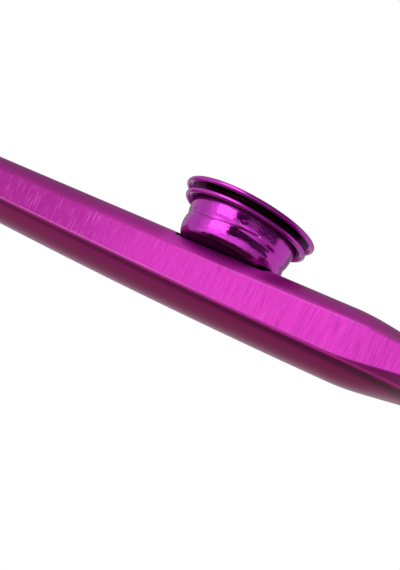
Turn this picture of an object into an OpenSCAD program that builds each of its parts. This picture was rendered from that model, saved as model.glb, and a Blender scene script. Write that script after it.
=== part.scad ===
// Metal kazoo: a tapered tube with a flat ground along each side, a pressed mouth end,
// and a spun turret on top that holds a buzzing membrane under a push-in ring.
// +X runs from the outlet to the mouth, +Z is up through the turret, units are millimetres.
// The origin is under the middle of the tube, on the surface that its lowest line touches.

/* [Body tube] */
// Length of the tube from outlet to mouth
body_length = 120; // [105:1:140]
// Sheet thickness of the tube
body_wall = 0.8; // [0.6:0.1:1.2]
// Height of the tube where it is fullest, at the start of the pressed mouth
full_height = 14.4; // [13.6:0.1:15.6]
// Width across the side flats where the tube is fullest
body_width = 13.4; // [12.8:0.1:14]
// Height of each side flat where the tube is fullest
body_flat = 7.3; // [6.4:0.1:8]
// Height of the tube at the outlet
outlet_height = 11.5; // [10.6:0.1:13]
// Width across the side flats at the outlet
outlet_width = 10.9; // [10:0.1:11.6]
// Height of each side flat at the outlet
outlet_flat = 4.8; // [4:0.1:5.6]

/* [Mouth end] */
// Height of the pressed mouth
mouth_height = 9.6; // [8:0.1:11]
// Width of the pressed mouth
mouth_width = 17.4; // [15:0.1:18.6]
// Height of each side flat at the mouth
mouth_flat = 4.8; // [3.6:0.1:5.6]
// Length over which the tube is pressed into the mouth
mouth_blend = 22; // [16:1:30]

/* [Turret seat] */
// Distance from the mouth to the turret's axis
turret_setback = 52; // [46:1:60]
// Depth of the flat seat that is pressed into the tube's top under the cup
seat_depth = 1.2; // [1:0.1:1.4]

/* [Turret cup] */
// Sheet thickness of the cup, the ring and the eyelet
sheet = 0.45; // [0.3:0.05:0.5]
// Outer diameter of the cup's rounded lower band
cup_band_diameter = 21.6; // [21.4:0.1:21.8]
// Outer radius of the corner round the cup's floor
cup_corner = 1.4; // [1:0.05:1.8]
// Height of the waist that carries the membrane, above the cup's underside
waist_height = 4.1; // [3.8:0.05:4.4]
// Depth of that waist
waist_depth = 0.35; // [0.3:0.05:0.45]
// Outer diameter of the neck just under the cup's lip
neck_diameter = 22.1; // [21.9:0.05:22.6]
// Height of the top of the cup's lip above the cup's underside
cup_height = 8.35; // [8.1:0.05:8.7]
// Outer diameter of the cup's lip
cup_lip_diameter = 25.9; // [25.4:0.1:26.6]

/* [Eyelet] */
// Outer diameter of the eyelet that joins the cup to the tube
eyelet_diameter = 7; // [5.6:0.2:7.4]
// Width of the eyelet's head on the cup's floor
eyelet_head = 0.9; // [0.6:0.1:1.4]
// Outward flare of the eyelet's tail inside the tube
eyelet_flare = 0.3; // [0.2:0.05:0.4]

/* [Membrane] */
// Outer diameter of the membrane and of its ring
membrane_diameter = 20.3; // [20.2:0.05:20.4]
// Thickness of the membrane's film
film_thickness = 0.05; // [0.03:0.01:0.1]
// Thickness of the membrane's ring
ring_thickness = 0.5; // [0.3:0.05:0.8]
// Radial width of the membrane's ring
ring_width = 1; // [0.6:0.1:1.6]

/* [Cap ring] */
// Height of the top of the ring's lip above the cup's underside
cap_height = 10.4; // [10.1:0.05:11]
// Outer diameter of the ring's lip
cap_lip_diameter = 27.6; // [26.8:0.1:29]

/* [Fits] */
// Radial gap between the cup's band and the round ends of its seat
seat_gap = 0.1; // [0.05:0.05:0.2]
// Radial gap between the eyelet and the holes it passes through
eyelet_gap = 0.03; // [0.01:0.01:0.05]
// Radial gap between the ring's sleeve and the membrane's diameter, with the sleeve the larger
sleeve_over_membrane = 0.07; // [0.04:0.01:0.08]

/* [Hidden] */
$fn = 96;

// Anodised aluminium, and the pale film and card of the membrane
anodised = [0.72, 0.12, 0.62];
film_colour = [0.93, 0.93, 0.9];
card_colour = [0.9, 0.88, 0.82];

// Rings along the pressed mouth and along the rest of the tube, and steps along each dome of the section
mouth_rings = 12;
tube_rings = 12;
dome_steps = 12;
// Steps along each bend of a spun sheet
bend_steps = 7;

outlet_x = -body_length / 2;
mouth_x = body_length / 2;
full_x = mouth_x - mouth_blend;
turret_x = mouth_x - turret_setback;
turret_z = full_height - seat_depth;
seat_radius = cup_band_diameter / 2 + seat_gap;

// Spun shapes: bend radii on the sheet's middle line, and where the lips end
half_sheet = sheet / 2;
cup_root_bend = 0.7;
cap_root_bend = 0.8;
lip_bend = half_sheet + 0.06;
lip_end_angle = -100;
waist_rise = 1.1;
waist_steps = 6;

// Middle line of the cup's wall at its band and at its waist
band = cup_band_diameter / 2 - half_sheet;
waist = band - waist_depth;

// The film rests where the cup's wall, seen from inside, opens out above the waist to the film's own size
film_slack = 0.05;
film_share = (membrane_diameter / 2 + film_slack + 0.55 * sheet - waist) / waist_depth;
film_z = waist_height + waist_rise * unease(film_share);
ring_z = film_z + film_thickness;
sleeve_z = ring_z + ring_thickness;
eyelet_hole = eyelet_diameter / 2 + eyelet_gap;
overshoot = 1;

function ease(t) = let (s = max(0, min(1, t))) s * s * (3 - 2 * s);
function unease(y) = 0.5 - sin(asin(1 - 2 * max(0, min(1, y))) / 3);
function mix(a, b, t) = a + (b - a) * t;
function unit(v) = v / norm(v);

// Share of the long taper at x: 0 at the outlet, 1 where the tube is fullest and beyond
function along(x) = min(1, (x - outlet_x) / (full_x - outlet_x));
// Share of the mouth's pressing at x: 0 along the tube, 1 at the mouth
function pressed(x) = ease((x - full_x) / mouth_blend);
// Half-height before the mouth is pressed, and the section's middle height, which keeps the top line level
function round_half_height(x) = mix(full_height, outlet_height, pow(1 - along(x), 2)) / 2;
function middle_z(x) = full_height - round_half_height(x);
function half_height(x) = mix(round_half_height(x), mouth_height / 2, pressed(x));
function half_width(x) = mix(mix(outlet_width, body_width, along(x)), mouth_width, pressed(x)) / 2;
function half_flat(x) = mix(mix(outlet_flat, body_flat, along(x)), mouth_flat, pressed(x)) / 2;

// One dome of the section, from +Y to -Y: an arc from flat to flat, moved in by inset
function dome_radius(w, rise) = (w * w + rise * rise) / (2 * rise);
function dome(w, f, h, inset) =
    let (
        radius = dome_radius(w, h - f),
        centre = h - radius,
        r = radius - inset,
        reach = asin((w - inset) / r)
    )
    [for (i = [0:dome_steps]) let (a = reach * (1 - 2 * i / dome_steps)) [r * sin(a), centre + r * cos(a)]];

// The whole section at x: the upper dome, then the lower one, with the side flats between them
function section(x, inset) =
    let (upper = dome(half_width(x), half_flat(x), half_height(x), inset))
    concat(
        [for (p = upper) [x, p[0], middle_z(x) + p[1]]],
        [for (p = upper) [x, -p[0], middle_z(x) - p[1]]]
    );

// A closed solid lofted through its sections
module loft(stations, inset) {
    count = 2 * (dome_steps + 1);
    last = (len(stations) - 1) * count;
    skin = [for (i = [0:len(stations) - 2], j = [0:count - 1])
        let (a = i * count + j, b = i * count + (j + 1) % count) each [[a, b + count, b], [a, a + count, b + count]]];
    outlet_face = [for (j = [1:count - 2]) [0, j, j + 1]];
    mouth_face = [for (t = outlet_face) [t[0] + last, t[2] + last, t[1] + last]];
    polyhedron([for (x = stations) each section(x, inset)], concat(skin, outlet_face, mouth_face), convexity = 6);
}

// Points along an arc
function arc(centre, radius, from, to) =
    [for (i = [0:bend_steps]) let (a = mix(from, to, i / bend_steps)) centre + radius * [cos(a), sin(a)]];

// The outline of a sheet of even thickness along its middle line
function segment_normal(path, i) = let (d = unit(path[i + 1] - path[i])) [-d[1], d[0]];
function mitre(a, b) = let (m = unit(a + b)) m / (m * a);
function point_normal(path, i) =
    i == 0 ? segment_normal(path, 0)
    : i == len(path) - 1 ? segment_normal(path, i - 1)
    : mitre(segment_normal(path, i - 1), segment_normal(path, i));
function sheet_outline(path) = concat(
    [for (i = [0:len(path) - 1]) path[i] + half_sheet * point_normal(path, i)],
    [for (i = [len(path) - 1:-1:0]) path[i] - half_sheet * point_normal(path, i)]
);

// A lip that leaves a wall at radius r, turns out at the top and is rolled under at its outer edge
function lip(r, top, outer_radius, root_bend) =
    let (z = top - half_sheet, edge = outer_radius - half_sheet - lip_bend)
    concat(
        arc([r + root_bend, z - root_bend], root_bend, 180, 90),
        arc([edge, z - lip_bend], lip_bend, 90, lip_end_angle)
    );

module spun(path) {
    translate([turret_x, 0, turret_z]) rotate_extrude() polygon(sheet_outline(path));
}

module body_tube() {
    stations = concat(
        [for (i = [0:tube_rings - 1]) mix(outlet_x, full_x, i / tube_rings)],
        [for (i = [0:mouth_rings]) mix(full_x, mouth_x, i / mouth_rings)]
    );
    bore_stations = concat([outlet_x - overshoot], stations, [mouth_x + overshoot]);
    color(anodised) difference() {
        loft(stations, 0);
        // The bore, which is lower under the seat
        difference() {
            loft(bore_stations, body_wall);
            translate([turret_x, 0, turret_z - body_wall]) cylinder(r = seat_radius + body_wall, h = full_height);
        }
        translate([turret_x, 0, turret_z]) cylinder(r = seat_radius, h = full_height);
        translate([turret_x, 0, middle_z(turret_x)]) cylinder(r = eyelet_hole, h = full_height);
    }
}

module turret_cup() {
    bend = cup_corner - half_sheet;
    neck = neck_diameter / 2 - half_sheet;
    shares = [for (i = [0:waist_steps]) i / waist_steps];
    color(anodised) spun(concat(
        [[eyelet_hole, half_sheet]],
        arc([band - bend, half_sheet + bend], bend, -90, 0),
        [for (t = shares) [mix(band, waist, ease(t)), waist_height - waist_rise * (1 - t)]],
        [for (t = shares) if (t > 0) [mix(waist, band, ease(t)), waist_height + waist_rise * t]],
        lip(neck, cup_height, cup_lip_diameter / 2, cup_root_bend)
    ));
}

module turret_eyelet() {
    barrel = eyelet_diameter / 2 - half_sheet;
    head_z = sheet + half_sheet;
    tail = -(body_wall + half_sheet / 2);
    color(anodised) spun([
        [barrel + eyelet_flare, tail - eyelet_flare],
        [barrel, tail],
        [barrel, head_z],
        [barrel + half_sheet + eyelet_head, head_z]
    ]);
}

module membrane_film() {
    color(film_colour) translate([turret_x, 0, turret_z + film_z]) cylinder(d = membrane_diameter, h = film_thickness);
}

module membrane_ring() {
    color(card_colour) translate([turret_x, 0, turret_z + ring_z]) difference() {
        cylinder(d = membrane_diameter, h = ring_thickness);
        translate([0, 0, -overshoot])
            cylinder(d = membrane_diameter - 2 * ring_width, h = ring_thickness + 2 * overshoot);
    }
}

module cap_ring() {
    sleeve = membrane_diameter / 2 + sleeve_over_membrane - half_sheet;
    color(anodised) spun(concat(
        [[sleeve, sleeve_z]],
        lip(sleeve, cap_height, cap_lip_diameter / 2, cap_root_bend)
    ));
}

body_tube();
turret_cup();
turret_eyelet();
membrane_film();
membrane_ring();
cap_ring();
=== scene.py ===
import math

import bmesh
import bpy
from mathutils import Matrix, Vector


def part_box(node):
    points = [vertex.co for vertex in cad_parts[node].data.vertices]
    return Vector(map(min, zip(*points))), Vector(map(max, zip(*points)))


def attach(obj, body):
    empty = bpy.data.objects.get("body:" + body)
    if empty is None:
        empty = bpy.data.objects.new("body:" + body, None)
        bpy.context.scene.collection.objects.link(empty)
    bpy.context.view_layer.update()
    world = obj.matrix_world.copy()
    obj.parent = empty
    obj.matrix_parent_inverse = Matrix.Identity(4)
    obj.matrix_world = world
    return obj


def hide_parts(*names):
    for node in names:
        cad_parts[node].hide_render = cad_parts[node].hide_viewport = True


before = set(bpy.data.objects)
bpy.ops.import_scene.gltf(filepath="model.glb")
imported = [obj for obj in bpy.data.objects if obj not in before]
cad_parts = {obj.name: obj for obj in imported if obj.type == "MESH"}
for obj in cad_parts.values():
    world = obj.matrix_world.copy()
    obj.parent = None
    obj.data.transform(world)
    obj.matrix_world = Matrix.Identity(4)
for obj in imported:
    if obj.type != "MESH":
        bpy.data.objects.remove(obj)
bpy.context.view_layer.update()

MM = 0.001

# Where the frame puts the tube and the turret
tube_low, tube_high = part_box("body_tube")
cap_low, cap_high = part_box("cap_ring")
cup_low, cup_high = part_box("turret_cup")
eyelet_low, eyelet_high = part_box("turret_eyelet")
card_low, card_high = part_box("membrane_ring")


def radius_of(low, high):
    """Radius of a round piece, from its box."""
    return (high[0] - low[0]) / 2


OUTLET_X = tube_low[0]
MOUTH_X = tube_high[0]
TOP_Z = tube_high[2]
TURRET_X = (cap_low[0] + cap_high[0]) / 2
# Middle of the cup's underside, which lies on the seat pressed into the tube
FOOT = Vector((TURRET_X, 0, cup_low[2]))

# Sizes of the tube, as the solids have them
WALL = 0.8 * MM
FULL_HEIGHT = TOP_Z - tube_low[2]
FULL_WIDTH = 13.4 * MM
FULL_FLAT = 7.3 * MM
OUTLET_HEIGHT = 11.5 * MM
OUTLET_WIDTH = 10.9 * MM
OUTLET_FLAT = 4.8 * MM
MOUTH_HEIGHT = 9.6 * MM
MOUTH_WIDTH = tube_high[1] - tube_low[1]
MOUTH_FLAT = 4.8 * MM
MOUTH_BLEND = 22 * MM
FULL_X = MOUTH_X - MOUTH_BLEND

# Rounding of the tube's ends, and of its long corners above and below the flats
RIM = 0.2 * MM
RIM_ANGLES = (30, 60, 90)
END_GAP = 0.01 * MM
UPPER_ROUND = 0.6 * MM
LOWER_ROUND = 0.22 * MM

# How finely the tube is divided
DOME_STEPS = 16
FLAT_ROWS = (0.6, 0.0, -0.6)
TUBE_RINGS = 48
MOUTH_RINGS = 22

# Sizes of the spun sheet pieces
SHEET = 0.45 * MM
EDGE_BREAK = 0.01 * MM
SPIN_STEPS = 240
# Bend of the sheet's middle line where a lip is rolled under
CURL = SHEET / 2 + 0.06 * MM
CUP_BAND_R = 10.8 * MM
CUP_CORNER = 1.4 * MM
CUP_LIP_R = radius_of(cup_low, cup_high)
CUP_LIP_ROOT = 0.7 * MM
# The lip begins to turn out of the cup's wall above this
WALL_TOP = 7.2 * MM
NECK_R = 11.05 * MM
SEAT_R = CUP_BAND_R + 0.1 * MM
CAP_LIP_R = radius_of(cap_low, cap_high)
CAP_LIP_ROOT = 0.8 * MM
# Middle of the cap ring's sleeve, which comes down on the card ring and stands just past its edge
SLEEVE_R = radius_of(card_low, card_high) + 0.07 * MM - SHEET / 2
EYELET_R = 3.5 * MM
EYELET_HOLE_R = EYELET_R + 0.03 * MM
EYELET_BEND = 0.3 * MM

# Points closer than this are one point, and points closer than the second lie on one corner
SAME = 0.001 * MM
NEAR = 0.004 * MM

# The picture's viewing angle, and the turn round the turret that faces it
VIEW_AZIMUTH = math.radians(28.72)
VIEW_ELEVATION = math.radians(-11.29)
VIEW_ROLL = math.radians(29.84)
FACING = math.atan2(-math.cos(VIEW_AZIMUTH), math.sin(VIEW_AZIMUTH))

# A painted glint: a white spot where the crease in the cup's wall ends
GLINT_TURN = FACING + math.radians(18.5)
GLINT_R = 10.72 * MM
GLINT_Z = 4.84 * MM
GLINT_SPOT = FOOT + Vector((GLINT_R * math.cos(GLINT_TURN), GLINT_R * math.sin(GLINT_TURN), GLINT_Z))


# Shader writing


class Value:
    """A number that varies over a surface. Arithmetic on it adds Math nodes to its finish."""

    def __init__(self, finish, socket):
        self.finish = finish
        self.socket = socket

    def maths(self, operation, first, second):
        return self.finish.node("ShaderNodeMath", {"operation": operation}, {0: first, 1: second})

    def __add__(self, other):
        return self.maths("ADD", self, other)

    def __radd__(self, other):
        return self.maths("ADD", other, self)

    def __sub__(self, other):
        return self.maths("SUBTRACT", self, other)

    def __rsub__(self, other):
        return self.maths("SUBTRACT", other, self)

    def __mul__(self, other):
        return self.maths("MULTIPLY", self, other)

    def __rmul__(self, other):
        return self.maths("MULTIPLY", other, self)

    def __truediv__(self, other):
        return self.maths("DIVIDE", self, other)

    def __pow__(self, other):
        return self.maths("POWER", self, other)


class Finish:
    """A node tree being written: a material's, or the world's."""

    def __init__(self, owner):
        self.owner = owner
        owner.use_nodes = True
        self.tree = owner.node_tree
        self.tree.nodes.clear()

    def node(self, kind, settings=None, sockets=None, out=0):
        made = self.tree.nodes.new(kind)
        for name, value in (settings or {}).items():
            setattr(made, name, value)
        for name, value in (sockets or {}).items():
            if isinstance(value, Value):
                self.tree.links.new(value.socket, made.inputs[name])
            else:
                made.inputs[name].default_value = value
        return Value(self, made.outputs[out]) if len(made.outputs) else None

    def mix(self, factor, first, second):
        return self.node(
            "ShaderNodeMix",
            {"data_type": "RGBA", "clamp_factor": True},
            {0: factor, 6: first, 7: second},
            2,
        )

    def where(self):
        """Object coordinates."""
        return self.node("ShaderNodeTexCoord", out="Object")

    def place(self, scale, turn=(0, 0, 0), shift=(0, 0, 0)):
        """Object coordinates, centred, turned and stretched."""
        return self.node(
            "ShaderNodeMapping",
            {"vector_type": "TEXTURE"},
            {"Vector": self.where(), "Location": shift, "Rotation": turn, "Scale": scale},
        )

    def noise(self, where, detail=2.0, roughness=0.5):
        sockets = {"Vector": where, "Scale": 1.0, "Detail": detail, "Roughness": roughness}
        return self.node("ShaderNodeTexNoise", None, sockets, "Fac")

    def split(self, vector):
        """The three parts of a vector."""
        first = self.node("ShaderNodeSeparateXYZ", None, {"Vector": vector})
        return [Value(self, socket) for socket in first.socket.node.outputs]

    def smooth(self, value, low, high):
        """Rises from 0 at low to 1 at high."""
        return self.node(
            "ShaderNodeMapRange",
            {"interpolation_type": "SMOOTHSTEP"},
            {"Value": value, "From Min": low, "From Max": high},
        )

    def band(self, value, low, low_full, high_full, high):
        """Rises from 0 at low to 1 at low_full, and falls from 1 at high_full to 0 at high."""
        return self.smooth(value, low, low_full) * self.smooth(value, high, high_full)

    def bump(self, height, distance, strength):
        sockets = {"Height": height, "Distance": distance, "Strength": strength}
        return self.node("ShaderNodeBump", None, sockets, "Normal")

    def surface(self, shader):
        for_world = isinstance(self.owner, bpy.types.World)
        kind = "ShaderNodeOutputWorld" if for_world else "ShaderNodeOutputMaterial"
        self.node(kind, None, {"Surface": shader})
        return self.owner

    def principled(self, **sockets):
        named = {name.replace("_", " "): value for name, value in sockets.items()}
        return self.surface(self.node("ShaderNodeBsdfPrincipled", None, named))


def srgb(r, g, b):
    """A colour given 0 to 255, as the shader's linear colour."""

    def linear(c):
        c /= 255
        return c / 12.92 if c <= 0.04045 else ((c + 0.055) / 1.055) ** 2.4

    return (linear(r), linear(g), linear(b), 1.0)


def grey(level):
    return (level, level, level, 1.0)


# Finishes

DYE = srgb(202, 36, 174)
# Darker dye tone, and the painted shade toward the outlet
DYE_DEEP_AND_SHADED = srgb(170, 26, 142)
DYE_MATT = srgb(206, 30, 184)
# Painted shade for the lower dome: darker and redder
DYE_SHADED_UNDER = srgb(188, 40, 138)
# Painted highlight along the flat's lower edge
EDGE_HIGHLIGHT_DYE = srgb(255, 60, 214)
GROUND_DYE = srgb(188, 45, 165)
# Darker streaks, and the painted shade at the flat's outlet end
GROUND_DEEP_AND_SHADED = srgb(152, 26, 130)
# Pale streaks and pits, and the painted edge highlights
GROUND_PALE = srgb(206, 96, 194)
SPUN_DYE = srgb(222, 44, 216)
SPUN_DEEP = srgb(200, 34, 190)
SPUN_SHEEN = (0.8, 0.45, 0.75, 1)
# Painted shade: near black, for the gap under the cup, the folds under the lips and a line below the flat's
# lower edge
PAINTED_SHADE = (0.02, 0.004, 0.01, 1)
# Painted glint colour
GLINT_WHITE = (0.95, 0.9, 0.95, 1)
FILM_MILK = (0.86, 0.86, 0.83, 1)
CARD_SHADE = (0.74, 0.71, 0.62, 1)
CARD_WHITE = (0.86, 0.84, 0.77, 1)


def across_flat(x, z):
    """Height on the tube's side: 1 at the flat's upper edge, -1 at its lower edge."""
    share = (x - OUTLET_X) * (1 / (FULL_X - OUTLET_X))
    middle = TOP_Z - 0.5 * (FULL_HEIGHT + (OUTLET_HEIGHT - FULL_HEIGHT) * (1 - share) ** 2.0)
    return (z - middle) / (0.5 * (OUTLET_FLAT + (FULL_FLAT - OUTLET_FLAT) * share))


def from_turret(x, y):
    """Distance from the turret's axis."""
    return ((x - TURRET_X) * (x - TURRET_X) + y * y) ** 0.5


def polished_dye():
    """Dyed aluminium, drawn and polished satin: a faint draw grain, painted shade toward the outlet and
    redder below, with a painted shade line and a painted highlight line along the flat's lower edge, matt by
    the turret, painted shade under it."""
    finish = Finish(bpy.data.materials.new("polished_dye"))
    x, y, z = finish.split(finish.where())
    grain = finish.noise(finish.place((6 * MM, 0.25 * MM, 0.25 * MM)), 3.0)
    cloud = finish.noise(finish.place((9 * MM, 7 * MM, 7 * MM)))
    across = across_flat(x, z)
    by_outlet = finish.smooth(x, -12 * MM, -36 * MM)
    by_mouth = finish.smooth(x, -14 * MM, 30 * MM)
    # A painted shade band below the flat's lower edge, and a painted highlight line along that edge
    dark_line = finish.band(across, -1.5, -1.25, -1.2, -1.05)
    edge_highlight_line = finish.band(across, -1.15, -1.09, -1.04, -1.0)
    # Random tone, with painted shade deepening toward the outlet
    tone = finish.mix(cloud - 0.8 * by_outlet, DYE_DEEP_AND_SHADED, DYE)
    # Painted shade on the lower dome, below the flat
    tone = finish.mix(finish.smooth(across, -0.9, -1.1), tone, DYE_SHADED_UNDER)
    tone = finish.mix(0.6 * dark_line, tone, PAINTED_SHADE)
    tone = finish.mix((0.1 + 0.7 * by_mouth) * edge_highlight_line, tone, EDGE_HIGHLIGHT_DYE)
    from_axis = from_turret(x, y)
    # Painted shade in the seat under the cup's foot, in colour and coat
    in_seat = finish.smooth(from_axis, SEAT_R + 0.3 * MM, SEAT_R)
    unshaded = 1 - in_seat * finish.smooth(z, FOOT.z - 0.3 * MM, FOOT.z)
    matt = finish.smooth(from_axis, SEAT_R + 4 * MM, SEAT_R) * finish.smooth(across, 0.95, 1.15)
    tone = finish.mix(matt, tone, DYE_MATT)
    on_top = finish.smooth(across, 0.9, 1.1)
    return finish.principled(
        Base_Color=finish.mix(unshaded, PAINTED_SHADE, tone),
        Metallic=0.88 - 0.45 * matt,
        Roughness=0.52 + 0.1 * grain,
        Coat_Weight=unshaded * (1 - 0.6 * on_top),
        Coat_Roughness=0.2,
        Coat_IOR=1.34,
        Normal=finish.bump(grain, 0.004 * MM, 0.25),
    )


def ground_dye():
    """The ground side flats: fine streaks across the tube that catch the light one by one, longer pale ones
    near the outlet, small pits, painted light along the length, and painted highlights along the edges,
    broken by nicks."""
    finish = Finish(bpy.data.materials.new("ground_dye"))
    x, y, z = finish.split(finish.where())
    across = across_flat(x, z)
    lean = (0, math.radians(-5), 0)
    fine = finish.noise(finish.place((0.14 * MM, 3 * MM, 4 * MM), lean), 3.0, 0.6)
    broad = finish.noise(finish.place((0.6 * MM, 5 * MM, 8 * MM), lean))
    long = finish.noise(finish.place((0.4 * MM, 3 * MM, 4 * MM), lean, (2 * MM, 0, MM)))
    cloud = finish.noise(finish.place((9 * MM, 9 * MM, 4 * MM)))
    nicks = finish.noise(finish.place((0.9 * MM, 9 * MM, 0.5 * MM)), 3.0, 0.6)
    specks = finish.noise(finish.place((0.3 * MM, 0.3 * MM, 0.3 * MM)))
    # Painted light along the flat: darker at the outlet end, lighter toward the middle and the mouth
    painted_light_side = finish.smooth(x, -32 * MM, 2 * MM)
    by_outlet = finish.smooth(x, -5 * MM, -20 * MM)
    by_mouth = finish.smooth(x, -8 * MM, 20 * MM)
    dark_line = finish.smooth(0.7 * fine + 0.3 * broad, 0.5, 0.36)
    light_line = finish.smooth(fine, 0.54, 0.7)
    scratch = finish.smooth(long, 0.54, 0.7) * by_outlet
    pits = finish.smooth(specks, 0.66, 0.74)
    # Painted highlights along the flat's upper and lower edges; nicks break the lower one
    upper_edge_highlight = finish.band(across, 0.8, 0.88, 0.9, 0.96)
    lower_edge_highlight = finish.smooth(0.12 * nicks - across, 0.97, 1.03)
    # Random tone, with the painted light along the flat
    tone = finish.mix(0.2 * cloud - 0.1 + 0.9 * painted_light_side, GROUND_DEEP_AND_SHADED, GROUND_DYE)
    tone = finish.mix(0.85 * dark_line, tone, GROUND_DEEP_AND_SHADED)
    tone = finish.mix(0.35 * light_line + 0.4 * scratch + 0.3 * pits, tone, GROUND_PALE)
    edges = 0.25 * by_mouth * upper_edge_highlight + (0.8 - 0.6 * by_mouth) * lower_edge_highlight
    return finish.principled(
        Base_Color=finish.mix(edges, tone, GROUND_PALE),
        Metallic=1.0,
        Roughness=0.38 + 0.12 * fine,
        Coat_Weight=0.2,
        Coat_Roughness=0.3,
        Coat_IOR=1.42,
        Normal=finish.bump(fine + 0.5 * broad, 0.012 * MM, 0.4),
    )


def in_fold(finish, from_axis, z, wall_r, outer_r, low, top):
    """1 in the fold under a lip, between its wall and its rolled edge."""
    across = finish.band(
        from_axis, wall_r - 0.1 * MM, wall_r + 0.1 * MM, outer_r - 1.3 * MM, outer_r - 0.9 * MM
    )
    return across * finish.band(z, low, low + 0.5 * MM, top - 0.3 * MM, top - 0.15 * MM)


def spun_dye():
    """Dyed aluminium spun to shape: mirror bright on the wall, a little uneven, with one painted glint, a
    white spot; duller on the lips, with painted shade under the cup's corner and in the folds under both
    lips."""
    finish = Finish(bpy.data.materials.new("spun_dye"))
    where = finish.where()
    x, y, z = finish.split(where)
    dents = finish.noise(finish.place((1.3 * MM, 1.3 * MM, 0.55 * MM)))
    dimples = finish.noise(finish.place((0.6 * MM, 0.6 * MM, 0.3 * MM)), 1.0)
    rings = finish.noise(finish.place((40 * MM, 40 * MM, 0.12 * MM)))
    from_axis = from_turret(x, y)
    cup_top, cap_top = cup_high[2], cap_high[2]
    neck_r = NECK_R - SHEET / 2
    cup_fold = in_fold(finish, from_axis, z, neck_r, CUP_LIP_R, cup_top - 1.3 * MM, cup_top)
    cap_fold = in_fold(finish, from_axis, z, SLEEVE_R, CAP_LIP_R, cup_top + 0.1 * MM, cap_top)
    # Painted shade under the cup's corner and in the folds under both lips, in colour and coat
    above_foot = finish.smooth(z, FOOT.z + 0.1 * MM, FOOT.z + 0.8 * MM)
    unshaded = above_foot * (1 - cup_fold) * (1 - cap_fold)
    wall_top = FOOT.z + WALL_TOP
    on_wall = finish.smooth(z, wall_top, wall_top - 0.8 * MM)
    # A painted glint: a white, less metallic spot at the crease's end
    from_glint = finish.node(
        "ShaderNodeVectorMath", {"operation": "DISTANCE"}, {0: where, 1: GLINT_SPOT}, "Value"
    )
    painted_glint = finish.smooth(from_glint, 0.22 * MM, 0.12 * MM)
    tone = finish.mix(unshaded, PAINTED_SHADE, finish.mix(dents, SPUN_DEEP, SPUN_DYE))
    return finish.principled(
        Base_Color=finish.mix(painted_glint, tone, GLINT_WHITE),
        Metallic=1 - 0.8 * painted_glint,
        Roughness=0.26 - 0.18 * on_wall + 0.05 * rings,
        Coat_Weight=unshaded,
        Coat_Roughness=0.08,
        Coat_IOR=1.42,
        Specular_Tint=SPUN_SHEEN,
        Normal=finish.bump((dents + 0.3 * dimples) * on_wall, 0.06 * MM, 1.0),
    )


def film_plastic():
    """Thin milky film, slightly slack."""
    finish = Finish(bpy.data.materials.new("film_plastic"))
    slack = finish.noise(finish.place((6 * MM, 2.2 * MM, 4 * MM), (0, 0, 0.6)))
    return finish.principled(
        Base_Color=FILM_MILK,
        Roughness=0.28,
        Alpha=0.8,
        Normal=finish.bump(slack, 0.3 * MM, 0.4),
    )


def ring_card():
    """Pressed white card."""
    finish = Finish(bpy.data.materials.new("ring_card"))
    fibre = finish.noise(finish.place((0.4 * MM, 0.4 * MM, 0.4 * MM)), 3.0)
    return finish.principled(
        Base_Color=finish.mix(fibre, CARD_SHADE, CARD_WHITE),
        Roughness=0.8,
        Normal=finish.bump(fibre, 0.03 * MM, 0.3),
    )


POLISHED = polished_dye()
GROUND = ground_dye()
SPUN = spun_dye()
FILM = film_plastic()
CARD = ring_card()


# Modelling


def mix(a, b, t):
    return a + (b - a) * t


def ease(t):
    """0 to 1 with a soft start and end."""
    return t * t * (3 - 2 * t)


def spread(low, high, count):
    """Even steps from low up to high, without high itself."""
    return [mix(low, high, i / count) for i in range(count)]


def deselect():
    bpy.ops.object.select_all(action="DESELECT")


def pick(obj):
    """Selects one piece alone."""
    deselect()
    obj.select_set(True)
    bpy.context.view_layer.objects.active = obj


def begin_edit(obj):
    pick(obj)
    bpy.ops.object.mode_set(mode="EDIT")
    bpy.ops.mesh.select_mode(type="VERT")


def end_edit():
    bpy.ops.object.mode_set(mode="OBJECT")


def draw_out(step):
    """Extrudes what is selected."""
    bpy.ops.mesh.extrude_region_move(TRANSFORM_OT_translate={"value": step})


def apply_modifier(obj, kind, **settings):
    pick(obj)
    added = obj.modifiers.new(kind.lower(), kind)
    for name, value in settings.items():
        setattr(added, name, value)
    bpy.ops.object.modifier_apply(modifier=added.name)


def smooth_shade(obj, degrees):
    pick(obj)
    bpy.ops.object.shade_smooth_by_angle(angle=math.radians(degrees))


def place_in_mesh(obj, name):
    """Names the piece and moves its place into its mesh."""
    pick(obj)
    bpy.ops.object.transform_apply(location=True, rotation=True, scale=True)
    obj.name = name
    obj.data.name = name
    return obj


def dress(obj, body, node, slot, *materials):
    for material in materials:
        obj.data.materials.append(material)
    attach(obj, body)
    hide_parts(node)


# The tube


def along(x):
    return min(1.0, (x - OUTLET_X) / (FULL_X - OUTLET_X))


def pressed(x):
    return ease(max(0.0, min(1.0, (x - FULL_X) / MOUTH_BLEND)))


def round_half_height(x):
    return mix(FULL_HEIGHT, OUTLET_HEIGHT, (1 - along(x)) ** 2) / 2


def middle_z(x):
    return TOP_Z - round_half_height(x)


def half_height(x):
    return mix(round_half_height(x), MOUTH_HEIGHT / 2, pressed(x))


def half_width(x):
    return mix(mix(OUTLET_WIDTH, FULL_WIDTH, along(x)), MOUTH_WIDTH, pressed(x)) / 2


def half_flat(x):
    return mix(mix(OUTLET_FLAT, FULL_FLAT, along(x)), MOUTH_FLAT, pressed(x)) / 2


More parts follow.
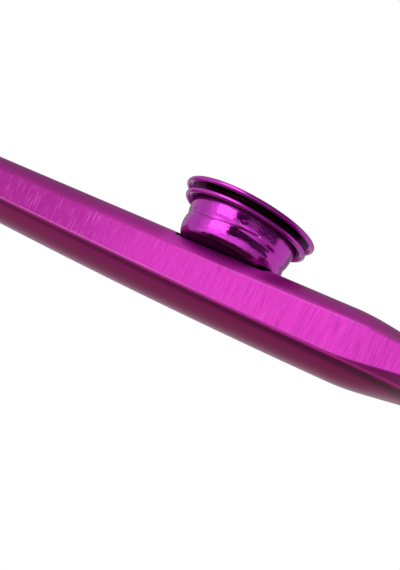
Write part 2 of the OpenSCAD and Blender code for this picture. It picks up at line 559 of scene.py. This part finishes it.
def section(x, inset=0.0):
    """Points round the tube at x: an arc over the top, down one flat, an arc below, and up the other flat."""
    w, h = half_width(x), half_height(x)
    rise = h - half_flat(x)
    radius = (w * w + rise * rise) / (2 * rise)
    centre = h - radius
    w -= inset
    radius -= inset
    reach = math.asin(w / radius)
    flat = centre + radius * math.cos(reach)
    dome = []
    for i in range(DOME_STEPS + 1):
        a = reach * (1 - 2 * i / DOME_STEPS)
        dome.append((radius * math.sin(a), centre + radius * math.cos(a)))
    half = dome + [(-w, flat * row) for row in FLAT_ROWS]
    return [Vector((x, side * y, middle_z(x) + side * up)) for side in (1, -1) for y, up in half]


def stations(low, high):
    """Where the tube's rings stand, closer together where the mouth is pressed."""
    return spread(low, FULL_X, TUBE_RINGS) + spread(FULL_X, high, MOUTH_RINGS) + [high]


def shape_ring(mesh, found_at, moved_to):
    """Moves each selected point of an extruded ring from where it is found to its place in the section."""
    for vert in mesh.verts:
        if vert.select:
            nearest = min(range(len(found_at)), key=lambda i: (vert.co - found_at[i]).length_squared)
            vert.co = moved_to[nearest]


def loft(name, inset, places):
    """Extrudes a ring along the tube, station by station."""
    first = section(places[0], inset)
    deselect()
    bpy.ops.mesh.primitive_circle_add(
        vertices=len(first), radius=OUTLET_HEIGHT / 2, fill_type="NOTHING"
    )
    obj = bpy.context.object
    begin_edit(obj)
    bpy.ops.mesh.select_all(action="SELECT")
    mesh = bmesh.from_edit_mesh(obj.data)
    mesh.verts.ensure_lookup_table()
    for vert, point in zip(mesh.verts, first):
        vert.co = point
    bmesh.update_edit_mesh(obj.data)
    for before, x in zip(places, places[1:]):
        step = Vector((x - before, 0, 0))
        draw_out(step)
        mesh = bmesh.from_edit_mesh(obj.data)
        shape_ring(mesh, [point + step for point in section(before, inset)], section(x, inset))
        bmesh.update_edit_mesh(obj.data)
    end_edit()
    return place_in_mesh(obj, name)


def on_corner(co, upper):
    """True on one of the long corners between a dome and a flat."""
    height = co.z - middle_z(co.x)
    at_side = abs(abs(co.y) - half_width(co.x)) < NEAR
    at_edge = abs(abs(height) - half_flat(co.x)) < NEAR
    return at_side and at_edge and (height > 0) == upper


def round_corners(obj, upper, width):
    """Bevels the two long corners above or below the flats."""
    shortest = 0.1 * MM
    begin_edit(obj)
    bpy.ops.mesh.select_all(action="DESELECT")
    bpy.ops.mesh.select_mode(type="EDGE")
    mesh = bmesh.from_edit_mesh(obj.data)
    for edge in mesh.edges:
        lengthwise = abs(edge.verts[0].co.x - edge.verts[1].co.x) > shortest
        edge.select_set(lengthwise and all(on_corner(v.co, upper) for v in edge.verts))
    bmesh.update_edit_mesh(obj.data)
    bpy.ops.mesh.bevel(offset=width, segments=4, profile=0.5, affect="EDGES", clamp_overlap=True)
    end_edit()


def close_end(obj, x, rim):
    """Turns an open end in over a rounded rim, or out over one for a bore, and closes it."""
    outward = -1 if x < 0 else 1
    w, h = half_width(x), half_height(x)
    centre = (x, 0, middle_z(x))
    begin_edit(obj)
    bpy.ops.mesh.select_all(action="DESELECT")
    mesh = bmesh.from_edit_mesh(obj.data)
    for vert in mesh.verts:
        vert.select_set(abs(vert.co.x - x) < SAME)
    mesh.select_flush(True)
    bmesh.update_edit_mesh(obj.data)
    done_x = done_in = 0.0
    for angle in RIM_ANGLES:
        step_x = abs(rim) * math.sin(math.radians(angle))
        step_in = rim * (1 - math.cos(math.radians(angle)))
        draw_out((outward * (step_x - done_x), 0, 0))
        shrink = (1, (w - step_in) / (w - done_in), (h - step_in) / (h - done_in))
        bpy.ops.transform.resize(value=shrink, center_override=centre)
        done_x, done_in = step_x, step_in
    if rim < 0:
        draw_out((outward * MM, 0, 0))
    bpy.ops.mesh.edge_face_add()
    bpy.ops.mesh.select_all(action="SELECT")
    bpy.ops.mesh.normals_make_consistent(inside=False)
    end_edit()


def mark_flats(obj):
    """Gives the ground flats and the edges next to them their own finish."""
    least_sideways = 0.955
    begin_edit(obj)
    bpy.ops.mesh.select_all(action="DESELECT")
    bpy.ops.mesh.select_mode(type="FACE")
    mesh = bmesh.from_edit_mesh(obj.data)
    for face in mesh.faces:
        face.select_set(abs(face.normal.y) > least_sideways)
    bmesh.update_edit_mesh(obj.data)
    obj.active_material_index = 1
    bpy.ops.object.material_slot_assign()
    end_edit()


def turned(radius, low, high):
    """A cylinder on the turret's axis."""
    deselect()
    bpy.ops.mesh.primitive_cylinder_add(
        vertices=128, radius=radius, depth=high - low, location=(TURRET_X, 0, (low + high) / 2)
    )
    return bpy.context.object


def take_away(obj, other):
    apply_modifier(obj, "BOOLEAN", operation="DIFFERENCE", object=other, solver="EXACT")
    bpy.data.objects.remove(other)


def build_tube():
    """The tube's outer form, less its bore, the seat pressed into its top and the eyelet's hole."""
    ends = OUTLET_X + RIM + END_GAP, MOUTH_X - RIM - END_GAP
    tube = loft("tube", 0.0, stations(*ends))
    round_corners(tube, True, UPPER_ROUND)
    round_corners(tube, False, LOWER_ROUND)
    bore = loft("bore", WALL, stations(*ends))
    for end in ends:
        close_end(tube, end, RIM)
        close_end(bore, end, -RIM)
    dress(tube, "body", "body_tube", "anodised", POLISHED, GROUND)
    mark_flats(tube)
    above = TOP_Z + 2 * MM
    inside = FOOT.z - 3 * MM
    take_away(bore, turned(SEAT_R + WALL, FOOT.z - WALL, above))
    take_away(tube, bore)
    take_away(tube, turned(SEAT_R, FOOT.z, above))
    take_away(tube, turned(EYELET_HOLE_R, inside, above))
    smooth_shade(tube, 30)


# The turret


def arc(centre, radius, start, end, steps=10):
    """Points on an arc in a turret profile, from one angle to another in degrees."""
    points = []
    for i in range(steps + 1):
        angle = math.radians(start + (end - start) * i / steps)
        points.append((centre[0] + radius * math.cos(angle), centre[1] + radius * math.sin(angle)))
    return points


def lip(wall_r, top, outer_r, root_bend):
    """A lip on a sheet's middle line: it turns out from the wall and is rolled under at its edge."""
    z = top - SHEET / 2
    edge = outer_r - SHEET / 2 - CURL
    root = arc((wall_r + root_bend, z - root_bend), root_bend, 180, 90)
    return root + arc((edge, z - CURL), CURL, 90, -100, 14)


def spin_profile(path):
    """Extrudes a point along a profile of (radius, height), then spins it round the turret."""
    deselect()
    first = FOOT + Vector((path[0][0], 0, path[0][1]))
    bpy.ops.mesh.primitive_plane_add(size=MM, location=first)
    obj = bpy.context.object
    begin_edit(obj)
    bpy.ops.mesh.select_all(action="SELECT")
    bpy.ops.mesh.merge(type="CENTER")
    for (r0, z0), (r1, z1) in zip(path, path[1:]):
        draw_out((r1 - r0, 0, z1 - z0))
    bpy.ops.mesh.select_all(action="SELECT")
    bpy.ops.mesh.spin(steps=SPIN_STEPS, angle=math.tau, center=FOOT, axis=(0, 0, 1))
    bpy.ops.mesh.select_all(action="SELECT")
    bpy.ops.mesh.remove_doubles(threshold=SAME)
    bpy.ops.mesh.normals_make_consistent(inside=False)
    end_edit()
    return obj


def spun_sheet(name, path, press=None):
    """A spun piece of even thickness, with its cut edges just broken. What is pressed into the finished
    sheet moves both of its sides alike."""
    obj = place_in_mesh(spin_profile(path), name)
    apply_modifier(obj, "SOLIDIFY", thickness=SHEET, offset=0.0, use_even_offset=True)
    cut_edge = math.radians(55)
    apply_modifier(
        obj, "BEVEL", width=EDGE_BREAK, segments=2, limit_method="ANGLE", angle_limit=cut_edge
    )
    smooth_shade(obj, 40)
    if press:
        begin_edit(obj)
        mesh = bmesh.from_edit_mesh(obj.data)
        for vert in mesh.verts:
            press(vert.co)
        bmesh.update_edit_mesh(obj.data)
        end_edit()
    return obj


# The cup's wall, in mm above its underside and degrees round the turret from the middle of the picture.
# How far the lower corner is eased in, by height
CORNER_EASE = [
    (0.3, 0.4), (0.74, 0.4), (1.4, 0.28), (1.95, 0.14), (2.44, 0.05), (3.07, 0.0), (9.0, 0.0)
]
# The wall opens to the neck from here
FLARE_FOOT = 3
# A pressed waist that runs a little downhill
WAIST_Z = 3.95
WAIST_FALL = 0.5
WAIST_DEPTH = 0.22
WAIST_SPREAD = 0.75
# A fine crease above it that dies out near the front: its height by angle
CREASE = [
    (-180, 4.6), (-90, 4.5), (-60, 4.1), (-36, 3.9), (-13, 4.15), (8, 4.6), (17, 4.8), (180, 4.8)
]
CREASE_START = -170
CREASE_STOP = 17
CREASE_FADE = 4
CREASE_DEPTH = 0.08
CREASE_SPREAD = 0.1


def between(table, at):
    """The table's value at a place, in a straight line from one entry to the next."""
    for (t0, v0), (t1, v1) in zip(table, table[1:]):
        if at <= t1:
            return mix(v0, v1, max(0.0, at - t0) / (t1 - t0))
    return table[-1][1]


def groove(off, reach):
    """A rounded groove's depth, 1 at its middle."""
    return math.exp(-((off / reach) ** 2))


def press_wall(co):
    """Eases the corner in, and presses the waist and the crease into a point of the cup's wall."""
    from_axis = co - FOOT
    radius = math.hypot(from_axis.x, from_axis.y)
    if radius < CUP_BAND_R - 4 * SHEET or from_axis.z > WALL_TOP:
        return
    z = from_axis.z / MM
    turn = (math.degrees(math.atan2(from_axis.y, from_axis.x) - FACING) + 180) % 360 - 180
    waist_z = WAIST_Z - WAIST_FALL * math.sin(math.radians(turn))
    dip = between(CORNER_EASE, z) + WAIST_DEPTH * groove(z - waist_z, WAIST_SPREAD)
    if turn > CREASE_START:
        fade = max(0.0, min(1.0, (CREASE_STOP - turn) / CREASE_FADE))
        dip += CREASE_DEPTH * fade * groove(z - between(CREASE, turn), CREASE_SPREAD)
    shrink = (radius - dip * MM) / radius
    co.x = FOOT.x + from_axis.x * shrink
    co.y = FOOT.y + from_axis.y * shrink


def build_cup():
    """A floor with the eyelet's hole, a rounded corner, a band that opens to the neck, and a lip."""
    band = CUP_BAND_R - SHEET / 2
    bend = CUP_CORNER - SHEET / 2
    neck = NECK_R - SHEET / 2
    rolled = lip(neck, cup_high[2] - FOOT.z, CUP_LIP_R, CUP_LIP_ROOT)
    neck_z = rolled[0][1]
    path = [(r, SHEET / 2) for r in spread(EYELET_HOLE_R, band - bend, 8)]
    path += arc((band - bend, SHEET / 2 + bend), bend, -90, 0, 14)
    # The wall's rows in mm, close together where the crease runs
    for z in spread(1.6, 3.7, 11) + spread(3.7, 5.0, 32) + spread(5.0, neck_z / MM, 10):
        opened = max(0.0, (z - FLARE_FOOT) * MM / (neck_z - FLARE_FOOT * MM))
        path.append((mix(band, neck, ease(opened)), z * MM))
    cup = spun_sheet("cup", path + rolled, press_wall)
    dress(cup, "body", "turret_cup", "anodised", SPUN)


def build_cap():
    """A sleeve that comes down on the card ring, and a lip wider than the cup's."""
    rolled = lip(SLEEVE_R, cap_high[2] - FOOT.z, CAP_LIP_R, CAP_LIP_ROOT)
    path = [(SLEEVE_R, z) for z in spread(cap_low[2] - FOOT.z, rolled[0][1], 8)]
    cap = spun_sheet("cap", path + rolled)
    dress(cap, "cap", "cap_ring", "anodised", SPUN)


def build_eyelet():
    """A hollow rivet: a tail spread under the seat, a barrel, and a head on the cup's floor."""
    barrel = EYELET_R - SHEET / 2
    tail = eyelet_low[2] - FOOT.z
    head = SHEET * 1.5
    head_r = radius_of(eyelet_low, eyelet_high) - 0.02 * MM
    path = [(barrel + 0.3 * MM, tail + 0.16 * MM), (barrel + 0.12 * MM, tail + 0.34 * MM)]
    path += [(barrel, z) for z in spread(tail + 0.5 * MM, head - EYELET_BEND, 5)]
    path += arc((barrel + EYELET_BEND, head - EYELET_BEND), EYELET_BEND, 180, 90, 6)
    path.append((head_r, head))
    eyelet = spun_sheet("eyelet", path)
    dress(eyelet, "body", "turret_eyelet", "anodised", SPUN)


def dress_membrane():
    """The film and its card ring are the solids themselves, in finishes of their own."""
    for name, material in (("membrane_film", FILM), ("membrane_ring", CARD)):
        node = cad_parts[name]
        node.data.materials.clear()
        node.data.materials.append(material)


# The stage


def build_floor():
    """A pale floor under the tube, seen only from above, because the picture is taken from below it."""
    finish = Finish(bpy.data.materials.new("floor_paper"))
    paper = finish.node(
        "ShaderNodeBsdfPrincipled",
        None,
        {
            "Base Color": grey(0.85),
            "Roughness": 0.9,
            "Emission Color": grey(1),
            "Emission Strength": 0.3,
        },
    )
    clear = finish.node("ShaderNodeBsdfTransparent")
    below = finish.node("ShaderNodeNewGeometry", out="Backfacing")
    shown = finish.node("ShaderNodeMixShader", None, {0: below, 1: paper, 2: clear})
    deselect()
    bpy.ops.mesh.primitive_plane_add(size=4.0, location=(0, 0, tube_low[2]))
    floor = bpy.context.object
    floor.name = "floor"
    floor.data.materials.append(finish.surface(shown))
    floor.visible_diffuse = False
    floor.visible_glossy = False
    floor.visible_shadow = False


def build_world():
    """White behind the object. For the light and the reflections it is a soft room, seen from the turret:
    toward is the camera's way, side the picture's right."""
    finish = Finish(bpy.data.worlds.new("studio"))
    smooth, mixed = finish.smooth, finish.mix
    x, y, z = finish.split(finish.node("ShaderNodeTexCoord", out="Generated"))
    toward = math.sin(VIEW_AZIMUTH) * x - math.cos(VIEW_AZIMUTH) * y
    side = math.cos(VIEW_AZIMUTH) * x + math.sin(VIEW_AZIMUTH) * y
    room = mixed(smooth(side, 0.65, 0.9), grey(0.3), grey(0.5))
    # A dark place where the camera stands, and dark above it
    off = side + 0.2 * toward
    camera = smooth(off * off, 0.08, 0.04) * smooth(toward, 0.2, 0.5)
    room = mixed(camera, room, grey(0.04))
    ceiling = smooth(z, 0.16, 0.3) * smooth(side, -0.4, -0.2)
    room = mixed(ceiling, room, grey(0.05))
    # A pale table in front, and warm dark below its edge
    table = mixed(smooth(side, 0.0, 0.8), grey(1.0), grey(0.45))
    room = mixed(smooth(z, -0.02, -0.1), room, table)
    below = mixed(smooth(z, -0.8, -1.0), (0.06, 0.055, 0.035, 1), (0.16, 0.15, 0.1, 1))
    under_edge = smooth(z + 0.16 * smooth(side, 0.0, -0.5), -0.3, -0.44)
    room = mixed(under_edge, room, below)
    # The far side, paler toward the floor
    behind = mixed(smooth(z, 0.1, -0.1), grey(0.28), grey(0.55))
    behind = mixed(smooth(z, -0.4, -0.9), behind, (0.26, 0.25, 0.18, 1))
    room = mixed(smooth(toward, 0.1, -0.3), room, behind)
    # A pale wall with a dark door on the right, and a bright left side
    right = smooth(toward, 0.3, 0.2) * smooth(side, 0.6, 0.8) * smooth(z, -0.6, -0.3)
    room = mixed(right, room, grey(0.6))
    door = smooth(side, 0.4, 0.5) * smooth(toward, 0.2, 0.3) * smooth(z, 0.0, 0.08)
    room = mixed(door, room, grey(0.08))
    left = mixed(smooth(toward, -0.1, 0.45), grey(0.55), grey(1.1))
    room = mixed(smooth(side, -0.35, -0.6) * smooth(z, -0.4, -0.2), room, left)
    seen = finish.node("ShaderNodeLightPath", out="Is Camera Ray")
    sky = finish.node(
        "ShaderNodeBackground", None, {"Color": mixed(seen, room, grey(1)), "Strength": 1.0}
    )
    bpy.context.scene.world = finish.surface(sky)


def direction(azimuth, elevation):
    """From the part toward a place at these angles."""
    flat = math.cos(elevation)
    return Vector((math.sin(azimuth) * flat, -math.cos(azimuth) * flat, math.sin(elevation)))


def softbox(name, azimuth, elevation, distance, width, height, level):
    """An area lamp that faces the turret; level is how bright it looks in a mirror."""
    toward = direction(math.radians(azimuth), math.radians(elevation))
    lamp = bpy.data.lights.new(name, "AREA")
    lamp.shape = "RECTANGLE"
    lamp.size = width
    lamp.size_y = height
    lamp.energy = level * math.pi * width * height
    obj = bpy.data.objects.new(name, lamp)
    bpy.context.scene.collection.objects.link(obj)
    obj.location = FOOT + toward * distance
    obj.rotation_euler = toward.to_track_quat("Z", "Y").to_euler()


def build_camera():
    """The picture's view: from below the turret's lips, with the camera rolled."""
    distance = 340 * MM
    frame_px = Vector((400, 570))
    axis_px = Vector((210.2, 286.4))
    px_per_metre = 5274
    back = direction(VIEW_AZIMUTH, VIEW_ELEVATION)
    level = Vector((math.cos(VIEW_AZIMUTH), math.sin(VIEW_AZIMUTH), 0))
    up = back.cross(level)
    right = math.cos(VIEW_ROLL) * level + math.sin(VIEW_ROLL) * up
    top = -math.sin(VIEW_ROLL) * level + math.cos(VIEW_ROLL) * up
    data = bpy.data.cameras.new("camera")
    data.sensor_fit = "AUTO"
    data.sensor_width = 36
    data.lens = px_per_metre * distance * data.sensor_width / frame_px.y
    data.shift_x = (frame_px.x / 2 - axis_px.x) / frame_px.y
    data.shift_y = (axis_px.y - frame_px.y / 2) / frame_px.y
    data.clip_start = 10 * MM
    camera = bpy.data.objects.new("camera", data)
    bpy.context.scene.collection.objects.link(camera)
    target = Vector((TURRET_X, 0, middle_z(TURRET_X)))
    turn = Matrix((right, top, back)).transposed().to_4x4()
    camera.matrix_world = Matrix.Translation(target + back * distance) @ turn
    bpy.context.scene.camera = camera


build_tube()
build_cup()
build_cap()
build_eyelet()
dress_membrane()

build_floor()
build_world()
softbox("left_box", azimuth=-17, elevation=14, distance=0.6, width=0.42, height=0.5, level=1.4)
softbox("top_box", azimuth=-10, elevation=80, distance=0.8, width=0.9, height=0.9, level=0.26)
build_camera()
bpy.context.scene.view_settings.view_transform = "Standard"
